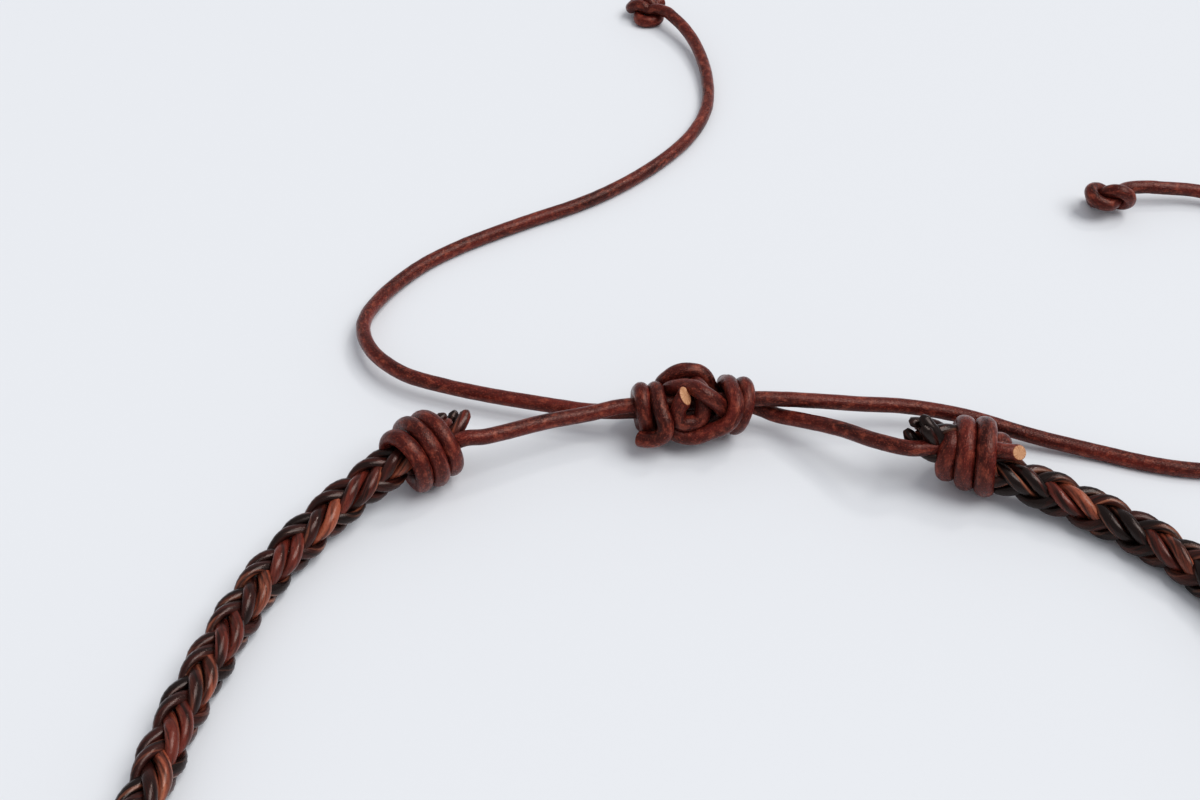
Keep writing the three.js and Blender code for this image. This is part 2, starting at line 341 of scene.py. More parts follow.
cord_tree, cord_sizes, cord_output = new_tree("Leather cord", SWEEP_SIZES)
cord_line = out(cord_tree, "GeometryNodeMeshToCurve", {0: cord_sizes["Geometry"]})
flat_side = kept(cord_tree, "flat_side", "FLOAT_VECTOR")
cord_line = out(cord_tree, "GeometryNodeSetCurveNormal",
                {"Curve": cord_line, "Selection": flat_side["Exists"], "Normal": flat_side["Attribute"]},
                mode="FREE")
cord_scale = kept(cord_tree, "thickness", "FLOAT")["Attribute"]
cord_tube = sweep(cord_tree, cord_line, cord_sizes, cord_scale, 0.0)
finish_tree(cord_tree, cord_tube, cord_sizes, cord_output)
print("the cord tree has", len(cord_tree.nodes), "nodes")

# %% [markdown]
# Leather cord is cut with a blade. The cut face is pale and a little domed, with a narrow rounded rim
# where the dyed skin ends. The last rings of the line shrink to a point to make that face, and a value
# called cut marks it for the material.

# %% Lines with cut ends
CUT_RINGS = (
    {"along": -0.26, "thickness": 1.0, "cut": 0.0},
    {"along": -0.12, "thickness": 0.985, "cut": 0.0},
    {"along": -0.02, "thickness": 0.93, "cut": 0.1},
    {"along": 0.03, "thickness": 0.84, "cut": 1.0},
    {"along": 0.07, "thickness": 0.45, "cut": 1.0},
    {"along": 0.08, "thickness": 0.0, "cut": 1.0},
)


def cut_places(end, inner):
    """Places of the rings that close one end."""
    outward = (end - inner) / np.linalg.norm(end - inner)
    return [end + outward * ring["along"] for ring in CUT_RINGS]


def cord_line_mesh(name, path, sides=None):
    """A line for the cord tree with both ends cut; sides are the outer directions of a flattened cord."""
    places = cut_places(path[0], path[1])[::-1] + list(path[1:-1]) + cut_places(path[-1], path[-2])
    mesh = bpy.data.meshes.new(name)
    mesh.from_pydata(np.array(places) * MM, [(i, i + 1) for i in range(len(places) - 1)], [])
    for label, body in (("thickness", 1.0), ("cut", 0.0)):
        ends = [ring[label] for ring in CUT_RINGS]
        numbers = ends[::-1] + [body] * (len(path) - 2) + ends
        mesh.attributes.new(label, "FLOAT", "POINT").data.foreach_set("value", numbers)
    if sides is not None:
        rows = [sides[0]] * len(CUT_RINGS) + list(sides[1:-1]) + [sides[-1]] * len(CUT_RINGS)
        outer = mesh.attributes.new("flat_side", "FLOAT_VECTOR", "POINT")
        outer.data.foreach_set("vector", np.ravel(rows))
    return mesh


print("a cut end has", len(CUT_RINGS), "rings")

# %% [markdown]
# ## Leather
# Dyed leather is never one colour: the dye is deeper in some stretches, rubbed off in others and broken
# by specks. A painted picture could show that, but noise needs no picture. It is read at the place on the
# straightened cord, so its streaks run lengthwise. Each pattern is a few numbers: how fine it is across
# and along, and which part of the noise counts.

# %% Leather helpers
def new_material(name):
    """An empty material; gives it, its tree and its shader."""
    material = bpy.data.materials.new(name)
    material.use_nodes = True
    return material, material.node_tree, material.node_tree.nodes["Principled BSDF"]


def stored(tree, label, output):
    """A value that the sweep stored, read by a material."""
    return add(tree, "ShaderNodeAttribute", attribute_name=label).outputs[output]


def streaks(tree, place, scale, detail):
    """Noise at a place on the straightened cord; scale is per millimetre across and along it."""
    spread = out(tree, "ShaderNodeMapping", {"Vector": place, "Scale": scale})
    return out(tree, "ShaderNodeTexNoise", {"Vector": spread, "Scale": 1.0, "Detail": detail})


def mask(tree, place, scale, detail, low, high, least=0.0, most=1.0):
    """A pattern of noise as a share between its least and its most."""
    return between(tree, streaks(tree, place, scale, detail), low, high, least, most)


def blend(tree, share, first, second):
    """Mixes two colours."""
    return mixed(tree, "RGBA", share, first, second)


print("leather helpers are ready")

# %% [markdown]
# Close up, leather has pores, and where a cord bends its dyed skin cracks a little. Both are far too fine
# for the mesh, so they are a shallow bump, and the cracks are kept as a value that can also darken the
# dye.

# %% Pores and cracks
PORES = {"scale": (5.0, 5.0, 4.0), "detail": 4.0}
PORE_SHARE = 0.8
CRACK_SHARE = 0.2
CRACK_WARP_SCALE = 1.3
CRACK_WARP = 0.5
CRACK_WIDTH = 0.09


def crackle(tree, place, scale):
    """Thin crooked cracks: 0 in a crack, 1 between them."""
    warp = add(tree, "ShaderNodeTexNoise", {"Vector": place, "Scale": CRACK_WARP_SCALE}).outputs["Color"]
    place = on_vectors(tree, "ADD", place, scaled(tree, warp, CRACK_WARP))
    cells = out(tree, "ShaderNodeTexVoronoi", {"Vector": place, "Scale": scale}, feature="DISTANCE_TO_EDGE")
    return between(tree, cells, 0.0, CRACK_WIDTH)


def grain_bump(tree, place, cracks, strength, depth):
    """Fine pores and shallow cracks as a bump."""
    pores = calc(tree, "MULTIPLY", streaks(tree, place, **PORES), PORE_SHARE)
    height = calc(tree, "ADD", pores, calc(tree, "MULTIPLY", cracks, CRACK_SHARE))
    return out(tree, "ShaderNodeBump", {"Strength": strength, "Distance": depth, "Height": height})


print("cracks are", CRACK_WIDTH, "of a cell wide")

# %% [markdown]
# The cord is dyed a reddish mahogany: deep in some stretches and rubbed orange-brown on patches, with
# dark specks and darker cracks. Fine light orange flecks are painted glints, where the grain catches the
# light. The cut faces show undyed tan leather with short fibres.

# %% Colour of the cord leather
MAHOGANY_DEEP = (0.026, 0.0040, 0.0036, 1.0)
MAHOGANY = (0.136, 0.0222, 0.0162, 1.0)
# Worn orange-brown of the rubbed patches, and also the colour of the painted glint flecks.
MAHOGANY_WORN_AND_GLINT = (0.46, 0.130, 0.078, 1.0)
TAN = (0.66, 0.35, 0.20, 1.0)
TAN_SHADE = (0.36, 0.155, 0.075, 1.0)
DYE_DEPTH = {"scale": (0.6, 0.6, 0.10), "detail": 4.0, "low": 0.30, "high": 0.70}
WORN_PATCHES = {"scale": (1.6, 1.6, 0.9), "detail": 5.0, "low": 0.50, "high": 0.78, "most": 0.5}
# Painted glints: tiny light orange flecks that stand for the grain catching the light.
PAINTED_GLINT_FLECKS = {"scale": (8.0, 8.0, 5.0), "detail": 3.0, "low": 0.57, "high": 0.67, "most": 0.4}
DARK_SPECKS = {"scale": (6.0, 6.0, 4.0), "detail": 3.0, "low": 0.55, "high": 0.68, "most": 0.45}
CUT_FIBRES = {"scale": (8.0, 8.0, 1.0), "detail": 4.0, "low": 0.34, "high": 0.62}
CORD_CRACKS = 1.5
CRACK_DARKNESS = 0.35

cord_leather, nodes, shader = new_material("cord_leather")
place = stored(nodes, "straight", "Vector")
cut = stored(nodes, "cut", "Fac")
cracks = crackle(nodes, place, CORD_CRACKS)
dye = blend(nodes, mask(nodes, place, **DYE_DEPTH), MAHOGANY_DEEP, MAHOGANY)
dye = blend(nodes, mask(nodes, place, **WORN_PATCHES), dye, MAHOGANY_WORN_AND_GLINT)
# Painted glints: fine light flecks in the worn colour, scattered over the whole cord.
dye = blend(nodes, mask(nodes, place, **PAINTED_GLINT_FLECKS), dye, MAHOGANY_WORN_AND_GLINT)
dye = blend(nodes, mask(nodes, place, **DARK_SPECKS), dye, MAHOGANY_DEEP)
dye = blend(nodes, between(nodes, cracks, 0.0, 1.0, CRACK_DARKNESS, 0.0), dye, MAHOGANY_DEEP)
fibres = blend(nodes, mask(nodes, place, **CUT_FIBRES), TAN_SHADE, TAN)
nodes.links.new(blend(nodes, cut, dye, fibres), shader.inputs["Base Color"])
print("colour nodes of the cord leather:", len(nodes.nodes))

# %% [markdown]
# Handled cord has a soft uneven shine, and the glints on red-brown leather are warm. The shine varies
# with the roughness, the cut faces are dull, and the tint of the glints is set on the shader itself.

# %% Shine of the cord leather
CORD_SHINE = {"scale": (2.0, 2.0, 0.8), "detail": 4.0, "low": 0.3, "high": 0.7, "least": 0.24, "most": 0.38}
CUT_ROUGHNESS = 0.85
CORD_GRAIN = {"strength": 0.75, "depth": 0.09 * MM}
CORD_GLOSS = 0.38
WARM_GLINT = (1.0, 0.78, 0.70, 1.0)

dull_cut = calc(nodes, "MULTIPLY", cut, CUT_ROUGHNESS)
roughness = calc(nodes, "MAXIMUM", mask(nodes, place, **CORD_SHINE), dull_cut)
nodes.links.new(roughness, shader.inputs["Roughness"])
nodes.links.new(grain_bump(nodes, place, cracks, **CORD_GRAIN), shader.inputs["Normal"])
shader.inputs["Specular IOR Level"].default_value = CORD_GLOSS
shader.inputs["Specular Tint"].default_value = WARM_GLINT
print(cord_leather.name, "has", len(nodes.nodes), "nodes")

# %% [markdown]
# ## Tie cords
# The two ties are the sweep run on the two smooth paths. Their first ends start inside the wraps, and
# their last ends are hidden in the stopper knots, so no cut face of theirs is seen.

# %% Tie cords
CORD_WIDTH = 2.0
CORD_VALUES = {"Width": CORD_WIDTH * MM, "Thickness": CORD_WIDTH * MM, "Sides": 18, "Lump Scale": 0.7,
               "Lump Height": 0.10 * MM, "Leather": cord_leather}


def make_cord(name, path, **changes):
    """A cord with cut ends along a path in millimetres."""
    return run_tree(name, cord_line_mesh(name, path), cord_tree, CORD_VALUES | changes)


left_tie = make_cord("left_tie", left_tie_path)
right_tie = make_cord("right_tie", right_tie_path)

# %% [markdown]
# ## Drawing knots tight
# A knot drawn through a few points has stretches of cord that cut into each other. In a real knot they
# press on each other instead. A physics simulation could find that shape, but a short loop does too, and
# it gives the same knot each time. Its first part is the push between stretches that lie too near.

# %% Push stretches of cord apart
CLOSE = 1e-6


def pushes(path, others, near, reach, share):
    """How far each place of a path is pushed out of other places that lie too near."""
    away = path[:, None] - others[None, :]
    distance = np.linalg.norm(away, axis=2)
    overlap = np.where(near, 0.0, np.maximum(reach - distance, 0.0))
    weight = overlap / np.maximum(distance, CLOSE)
    count = np.maximum((overlap > 0).sum(axis=1), 1)
    return share * (away * weight[:, :, None]).sum(axis=1) / count[:, None]


print("the push between stretches is ready")

# %% [markdown]
# In each round overlapping stretches push each other apart, every point is drawn a little towards the
# middle of its two neighbours, as tension does, and towards its first place, and nothing sinks into the
# table. Neighbours along the cord always lie near each other, so a short stretch on either side is left
# out.

# %% Settle a knot
CONTACT_SKIP = 1.7
TOUCH = 0.93
OWN_SHARE = 0.5
OTHERS_SHARE = 0.9


def neighbours(path, width):
    """Which places of a cord are so near along it that they count as one stretch."""
    order = np.arange(len(path))
    spacing = path_length(path) / (len(path) - 1)
    return np.abs(order[:, None] - order[None, :]) * spacing < CONTACT_SKIP * width


def settle(path, width, others, rounds, tension, stay=0.0, held=0):
    """Lets a cord's path settle until its stretches touch; held places at the start do not move."""
    home = path.copy()
    near = neighbours(path, width)
    no_near = np.zeros((len(path), len(others)), bool)
    free = (np.arange(len(path)) >= held)[:, None]
    for _ in range(rounds):
        step = pushes(path, path, near, TOUCH * width, OWN_SHARE)
        step += pushes(path, others, no_near, TOUCH * width, OTHERS_SHARE)
        step[1:-1] += tension * ((path[:-2] + path[2:]) / 2 - path[1:-1])
        step += stay * (home - path)
        path = path + free * step
        path[:, 2] = np.maximum(path[:, 2], width / 2)
    return path


def worst_overlap(path, width):
    """Deepest place where a settled cord still lies inside itself, in millimetres."""
    distance = np.linalg.norm(path[:, None] - path[None, :], axis=2)
    distance[neighbours(path, width)] = width
    return width - float(distance.min())


print("stretches may touch up to", TOUCH, "of the cord's width")

# %% [markdown]
# ## Stopper knots
# Each tie ends in a single overhand knot that keeps it from slipping back through the sliding knot. Such
# a knot could be drawn point by point, but an overhand knot is an opened trefoil, so its line comes from
# the trefoil's formula, turned to follow the tie.

# %% Line of an overhand knot
TREFOIL_OPEN = 0.62
TREFOIL_STEPS = 90
TREFOIL_TURN = math.radians(-120.0)


def overhand_line(end, before, size, tilt, lead, tail):
    """An overhand knot that goes on from the end of a cord, in millimetres."""
    forward = np.array([end[0] - before[0], end[1] - before[1], 0.0])
    forward /= np.linalg.norm(forward)
    left = np.array([-forward[1], forward[0], 0.0])
    up = np.array([0.0, 0.0, 1.0])
    side = left * math.cos(tilt) + up * math.sin(tilt)
    top = up * math.cos(tilt) - left * math.sin(tilt)
    turn = np.linspace(math.pi / 3 + TREFOIL_OPEN, math.pi * 7 / 3 - TREFOIL_OPEN, TREFOIL_STEPS)
    wide = (np.sin(turn) + 2 * np.sin(2 * turn)) * size
    deep = (np.cos(turn) - 2 * np.cos(2 * turn)) * size
    height = -np.sin(3 * turn) * size
    along = wide * math.cos(TREFOIL_TURN) - deep * math.sin(TREFOIL_TURN)
    across = wide * math.sin(TREFOIL_TURN) + deep * math.cos(TREFOIL_TURN)
    knot = -along[:, None] * forward + across[:, None] * side + height[:, None] * top
    knot += end - knot[0] + forward * lead
    last = knot[-1] - knot[-2]
    last = last / np.linalg.norm(last)
    return np.vstack([end[None], knot, knot[-1] + last * tail / 2, knot[-1] + last * tail])


print("steps round a trefoil:", TREFOIL_STEPS)

# %% [markdown]
# The knot's line starts a few places inside the tie, which are held, so that no seam shows where the knot
# begins. The two knots differ in size and lean, as two knots tied by hand do.

# %% Stopper knots
KNOT_SPACING = 0.4
INSIDE_TIE = 4
STEPS_TO_END = 2
TIE_STRETCH_LEFT_OUT = 12
STOPPER_ROUNDS = 160
STOPPER_TENSION = 0.25


def make_stopper(name, tie_path, **shape):
    """A stopper knot on the end of a tie."""
    knot = overhand_line(tie_path[-1], tie_path[-1 - STEPS_TO_END], **shape)
    line = evenly(np.vstack([tie_path[-INSIDE_TIE:-1], knot]), KNOT_SPACING)
    tie = tie_path[:-TIE_STRETCH_LEFT_OUT]
    line = settle(line, CORD_WIDTH, tie, STOPPER_ROUNDS, STOPPER_TENSION, held=INSIDE_TIE)
    line = evenly(line, KNOT_SPACING)
    print(name, "overlaps by", round(worst_overlap(line, CORD_WIDTH), 2), "mm at most")
    print(name, "takes", round(path_length(line), 1), "mm of cord")
    return make_cord(name, line)


left_stopper = make_stopper("left_stopper", left_tie_path,
                            size=1.35, tilt=math.radians(30.0), lead=4.9, tail=2.5)
right_stopper = make_stopper("right_stopper", right_tie_path,
                             size=1.25, tilt=math.radians(-30.0), lead=2.9, tail=2.0)

# %% [markdown]
# ## Putting the cords on the frame
# Each tie is a free cord from its wrap to its stopper knot. Each finished piece rides on the one rigid body
# and stands for its measured solid, which is hidden.

def place_piece(piece, node):
    """Puts a finished piece in the place of its measured solid."""
    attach(piece, "root")
    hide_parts(node)


for tie, stopper, path, which in ((left_tie, left_stopper, left_tie_path, "left"),
                                  (right_tie, right_stopper, right_tie_path, "right")):
    place_piece(tie, which + "_tie_cord")
    place_piece(stopper, which + "_tie_stopper")
    print(which, "tie declared,", round(path_length(path), 1), "mm")

# %% [markdown]
# ## The plait
# The loop is plaited from eight strands, worked as four pairs: two pairs wind to the right and two to the
# left, and each pair passes over the pairs that wind the other way and then under them. One strand could
# be drawn and copied, but a plait is a rule, so a rule makes it here. It needs the route of the loop's
# middle.

# %% Route of the plait
BRAID_ROUTE = [
    (-31.0, 72.2, 5.0), (-35.7, 68.8, 5.0), (-38.6, 66.6, 5.0), (-42.8, 63.0, 4.2), (-46.2, 59.6, 3.4),
    (-49.5, 55.3, 2.9), (-52.3, 50.8, 2.65), (-54.7, 45.4, 2.6), (-57.2, 37.7, 2.6), (-59.4, 29.4, 2.6),
    (-61.2, 18.5, 2.6), (-63.4, 4.0, 2.6), (-64.8, -12.0, 2.6), (-63.6, -28.5, 2.6), (-58.6, -44.6, 2.6),
    (-50.0, -58.6, 2.6), (-38.2, -69.4, 2.6), (-24.2, -76.0, 2.6), (-8.6, -78.6, 2.6), (7.4, -78.4, 2.6),
    (22.8, -75.2, 2.6), (36.9, -68.4, 2.6), (48.6, -58.0, 2.6), (57.4, -44.8, 2.6), (62.8, -30.0, 2.6),
    (65.2, -14.0, 2.6), (65.8, 2.0, 2.6), (65.2, 17.0, 2.6), (63.4, 31.0, 2.6), (60.8, 41.5, 2.6),
    (57.0, 49.4, 2.6), (52.3, 54.8, 2.65), (46.2, 59.8, 2.8), (40.6, 63.1, 3.3), (35.6, 65.2, 4.1),
    (30.9, 67.2, 5.0), (24.9, 68.8, 5.0),
]
BRAID_SPACING = 0.5
braid_path = smooth_path(BRAID_ROUTE, BRAID_SPACING)
print("the plait is", round(path_length(braid_path), 1), "mm long")

# %% [markdown]
# Geometry Nodes copy the route eight times. A strand's number says which way it winds, which of the two
# pairs on that side it belongs to, and on which side of its pair it lies. The directions across and above
# the route are found at every place, so that the plait follows the loop's bends.

# %% Plait tree: copies of the route
STRANDS = 8
PLAIT_INPUTS = ("Pitch", "Phase", "Swing", "Sink", "Pair Gap", "Pair Drop", "Pair Lean",
                "Left Face", "Right Face", "Squeeze", "Squeezed To", "Full From", "Left Loose",
                "Right Loose", "Left Rise", "Right Rise", "Left Trim", "Right Trim", "Scatter",
                "Uneven Ends", "Rounded Tip")
PLAIT_SIZES = {label: "Float" for label in PLAIT_INPUTS}

plait, plait_sizes, plait_output = new_tree("Round plait", PLAIT_SIZES | SWEEP_SIZES)
route = out(plait, "GeometryNodeMeshToCurve", {0: plait_sizes["Geometry"]})
copies = add(plait, "GeometryNodeDuplicateElements", {"Geometry": route, "Amount": STRANDS},
             domain="SPLINE").outputs
strand = copies["Duplicate Index"]
hand = calc(plait, "MODULO", strand, 2.0)
bundle = calc(plait, "MODULO", calc(plait, "FLOOR", calc(plait, "DIVIDE", strand, 2.0)), 2.0)
second_four = calc(plait, "FLOOR", calc(plait, "DIVIDE", strand, STRANDS / 2))
side = calc(plait, "SUBTRACT", calc(plait, "MULTIPLY", second_four, 2.0), 1.0)
run = add(plait, "GeometryNodeSplineParameter").outputs
forward = out(plait, "GeometryNodeInputTangent")
across = on_vectors(plait, "NORMALIZE", on_vectors(plait, "CROSS_PRODUCT", (0.0, 0.0, 1.0), forward))
upward = on_vectors(plait, "CROSS_PRODUCT", forward, across)
print("the plait tree has", len(PLAIT_INPUTS), "sizes of its own")

# %% [markdown]
# The strands that lie on top at the left of the closure wind one way, and those on top at the right wind
# the other, so the plait must turn by a quarter on its way round the front. The face angle does that,
# slowly, where the loop is furthest from the closure. The strands of the two hands swing on axes that are
# square to each other.

# %% Plait tree: the axes of the swing
FACE_TURNS_FROM = 0.42
FACE_TURNS_TO = 0.72

face = between(plait, run["Factor"], FACE_TURNS_FROM, FACE_TURNS_TO, plait_sizes["Left Face"],
               plait_sizes["Right Face"], "SMOOTHSTEP")
first_axis = on_vectors(plait, "ADD", scaled(plait, across, calc(plait, "COSINE", face)),
                        scaled(plait, upward, calc(plait, "SINE", face)))
second_axis = on_vectors(plait, "CROSS_PRODUCT", forward, first_axis)
long_axis = mixed(plait, "VECTOR", hand, first_axis, second_axis)
short_axis = mixed(plait, "VECTOR", hand, second_axis, first_axis)
print("the face of the plait turns over", round(FACE_TURNS_TO - FACE_TURNS_FROM, 2), "of the loop")

# %% [markdown]
# Seen along the loop, a pair swings far out on its long axis and only a little on the other, so that it
# lies flat and nearly lengthwise on top and dives quickly. A plain helix would be rounder, but its
# strands would run through each other where they cross.

# %% Plait tree: the swing of each pair
turning = calc(plait, "DIVIDE", 2 * math.pi, plait_sizes["Pitch"])
phase = calc(plait, "ADD", calc(plait, "MULTIPLY", run["Length"], turning), plait_sizes["Phase"])
phase = calc(plait, "ADD", phase, calc(plait, "MULTIPLY", bundle, math.pi))
phase = calc(plait, "ADD", phase, calc(plait, "MULTIPLY", hand, math.pi / 2))
swing = calc(plait, "COSINE", phase)
sink = calc(plait, "SINE", phase)
swung = scaled(plait, long_axis, calc(plait, "MULTIPLY", swing, plait_sizes["Swing"]))
sunk = scaled(plait, short_axis, calc(plait, "MULTIPLY", sink, plait_sizes["Sink"]))
offset = on_vectors(plait, "ADD", swung, sunk)
print("each pair swings once in a pitch")

# %% [markdown]
# The two strands of a pair lie side by side. The direction from one to the other is square to the way the
# pair runs and to its outer side, and each strand leans a little outwards, which makes the plait round.

# %% Plait tree: two strands side by side
outer = on_vectors(plait, "ADD", scaled(plait, long_axis, swing), scaled(plait, short_axis, sink))
climb = on_vectors(plait, "SUBTRACT",
                   scaled(plait, short_axis, calc(plait, "MULTIPLY", swing, plait_sizes["Sink"])),
                   scaled(plait, long_axis, calc(plait, "MULTIPLY", sink, plait_sizes["Swing"])))
heading = on_vectors(plait, "NORMALIZE", on_vectors(plait, "ADD", forward, scaled(plait, climb, turning)))
beside = on_vectors(plait, "NORMALIZE", on_vectors(plait, "CROSS_PRODUCT", heading, outer))
outer = on_vectors(plait, "CROSS_PRODUCT", beside, heading)
half_gap = calc(plait, "MULTIPLY", side, plait_sizes["Pair Gap"])
offset = on_vectors(plait, "ADD", offset, scaled(plait, beside, half_gap))
offset = on_vectors(plait, "SUBTRACT", offset, scaled(plait, outer, plait_sizes["Pair Drop"]))
lean = scaled(plait, beside, calc(plait, "MULTIPLY", side, plait_sizes["Pair Lean"]))
strand_side = on_vectors(plait, "NORMALIZE", on_vectors(plait, "ADD", outer, lean))
print("pairs laid side by side, nodes so far:", len(plait.nodes))

# %% [markdown]
# Inside each wrap the plait is pressed together. A narrower route could not do that, because the strands
# lie beside it, so what moves them off the route is made smaller near both ends.

# %% Plait tree: pressed ends
total = add(plait, "GeometryNodeSplineLength").outputs["Length"]
to_end = calc(plait, "MINIMUM", run["Length"], calc(plait, "SUBTRACT", total, run["Length"]))
squeeze = between(plait, to_end, plait_sizes["Squeezed To"], plait_sizes["Full From"],
                  plait_sizes["Squeeze"], 1.0, "SMOOTHSTEP")
offset = scaled(plait, offset, squeeze)
print("ends pressed, nodes so far:", len(plait.nodes))

# %% [markdown]
# The two ends of the loop differ, and so do the strands that end there. Two trees could be made, but one
# helper is enough that picks one number for the left end and another for the right. A second one draws a
# fixed chance for each end of a strand.

# %% Plait tree: left and right ends
HALFWAY = 0.5

at_right = calc(plait, "GREATER_THAN", run["Factor"], HALFWAY)


def by_end(left, right):
    """One number for the left end of the route and another for the right end."""
    return mixed(plait, "FLOAT", at_right, left, right)


def chance(kind, low, high, seed):
    """A random value for each end of each strand."""
    number = calc(plait, "ADD", strand, by_end(0.0, float(STRANDS)))
    inputs = {"Min": low, "Max": high, "ID": number, "Seed": seed}
    return add(plait, "FunctionNodeRandomValue", inputs, data_type=kind).outputs["Value"]


print("ends of strands:", 2 * STRANDS)

# %% [markdown]
# Past the wrap the cut ends of the strands come loose: they rise, more at the right end than at the left,
# scatter a little and differ in length. Each of these is one more move of the strand's line.

# %% Plait tree: loose ends
RISE_EASE = 1.5
LENGTH_SEED = 4
SCATTER_SEED = 7

loose_length = by_end(plait_sizes["Left Loose"], plait_sizes["Right Loose"])
loose = calc(plait, "SUBTRACT", 1.0, calc(plait, "DIVIDE", to_end, loose_length))
loose = calc(plait, "MAXIMUM", loose, 0.0)
rise = by_end(plait_sizes["Left Rise"], plait_sizes["Right Rise"])
rise = calc(plait, "MULTIPLY", rise, calc(plait, "POWER", loose, RISE_EASE))
scatter = calc(plait, "MULTIPLY", calc(plait, "MULTIPLY", loose, loose), plait_sizes["Scatter"])
aside = chance("FLOAT_VECTOR", (-1.0, -1.0, -1.0), (1.0, 1.0, 1.0), SCATTER_SEED)
shorter = calc(plait, "MULTIPLY", chance("FLOAT", -1.0, 1.0, LENGTH_SEED), plait_sizes["Uneven Ends"])
shorter = calc(plait, "ADD", shorter, by_end(plait_sizes["Left Trim"], plait_sizes["Right Trim"]))
shorter = calc(plait, "MULTIPLY", calc(plait, "MULTIPLY", shorter, loose), by_end(1.0, -1.0))
offset = on_vectors(plait, "ADD", offset, out(plait, "ShaderNodeCombineXYZ", {2: rise}))
offset = on_vectors(plait, "ADD", offset, scaled(plait, forward, shorter))
offset = on_vectors(plait, "ADD", offset, scaled(plait, aside, scatter))
print("ends loosened, nodes so far:", len(plait.nodes))

# %% [markdown]
# Last, each strand's line is moved to its place and swept. The tips narrow and are closed, and each
# strand keeps its number and its share of the way round the loop, by which its leather is coloured. The
# grain is shifted from strand to strand, so that no two look alike.

# %% Plait tree: sweep and leather
NARROW_TIP = 0.2
TIP_ROUNDNESS = 0.5
GRAIN_SHIFT = 0.037

lines = keep(plait, copies["Geometry"], "flat_side", strand_side, "FLOAT_VECTOR")
lines = keep(plait, lines, "strand", strand, "FLOAT")
lines = keep(plait, lines, "share", run["Factor"], "FLOAT")
tip = between(plait, to_end, 0.0, plait_sizes["Rounded Tip"], NARROW_TIP, 1.0)
lines = keep(plait, lines, "tip", calc(plait, "POWER", tip, TIP_ROUNDNESS), "FLOAT")
lines = out(plait, "GeometryNodeSetPosition", {"Geometry": lines, "Offset": offset})
lines = out(plait, "GeometryNodeSetCurveNormal",
            {"Curve": lines, "Normal": kept(plait, "flat_side", "FLOAT_VECTOR")["Attribute"]}, mode="FREE")
grain_start = calc(plait, "MULTIPLY", kept(plait, "strand", "FLOAT")["Attribute"], GRAIN_SHIFT)
tip_scale = kept(plait, "tip", "FLOAT")["Attribute"]
strand_tubes = sweep(plait, lines, plait_sizes, tip_scale, grain_start, capped=True)
finish_tree(plait, strand_tubes, plait_sizes, plait_output)
print("the plait tree has", len(plait.nodes), "nodes")

# %% [markdown]
# ## Plait leather
# The strands are dyed in different browns, from espresso to rust, and the dye drifts along the
# loop. Eight materials could do that, but one is enough: the strand's own number picks its dye from a row
# of eight, once for the left of the loop and once for the right.

# %% Dyes of the plait
ESPRESSO = (0.0095, 0.0042, 0.0036, 1.0)
DARK_BROWN = (0.042, 0.0100, 0.0072, 1.0)
RED_BROWN = (0.135, 0.0290, 0.0190, 1.0)
RUST = (0.30, 0.088, 0.050, 1.0)
LEFT_DYES = (DARK_BROWN, RUST, DARK_BROWN, RED_BROWN, DARK_BROWN, DARK_BROWN, ESPRESSO, RED_BROWN)
RIGHT_DYES = (ESPRESSO, ESPRESSO, RED_BROWN, DARK_BROWN, ESPRESSO, DARK_BROWN, RUST, ESPRESSO)
DYE_CHANGES_FROM = 0.45
DYE_CHANGES_TO = 0.75

plait_leather, nodes, shader = new_material("plait_leather")
place = stored(nodes, "straight", "Vector")
middle_of_step = calc(nodes, "ADD", stored(nodes, "strand", "Fac"), 0.5)
strand_share = calc(nodes, "DIVIDE", middle_of_step, float(STRANDS))


def strand_dye(dyes):
    """The dye of each strand, picked by its number."""
    ramp = add(nodes, "ShaderNodeValToRGB", {"Fac": strand_share})
    stops = ramp.color_ramp.elements
    ramp.color_ramp.interpolation = "CONSTANT"
    stops.remove(stops[-1])
    for number, colour in enumerate(dyes):
        stop = stops[0] if number == 0 else stops.new(number / STRANDS)
        stop.color = colour
    return ramp.outputs["Color"]


drift = between(nodes, stored(nodes, "share", "Fac"), DYE_CHANGES_FROM, DYE_CHANGES_TO)
dye = blend(nodes, drift, strand_dye(LEFT_DYES), strand_dye(RIGHT_DYES))
print("strands with their own dye:", len(LEFT_DYES))

# %% [markdown]
# Wear has taken the dye off some of the strands' side edges, and dark and reddish streaks run along them.
# The section stored by the sweep tells the shader where a strand's edges are, so the wear stays on them.

# %% Streaks and worn edges of the plait
WORN_EDGE = (0.46, 0.180, 0.105, 1.0)
DARK_STREAKS = {"scale": (1.3, 1.3, 0.16), "detail": 5.0, "low": 0.42, "high": 0.60, "most": 0.9}
RED_STREAKS = {"scale": (1.3, 1.3, 0.20), "detail": 4.0, "low": 0.54, "high": 0.70, "most": 0.4}
RUBBED = {"scale": (0.8, 0.8, 0.12), "detail": 4.0, "low": 0.52, "high": 0.68, "most": 0.58}
PLAIT_SPECKS = {"scale": (5.0, 5.0, 3.0), "detail": 3.0, "low": 0.55, "high": 0.70, "most": 0.5}
EDGE_BEGINS = (0.50, 0.80)
EDGE_ENDS = (0.86, 1.0)

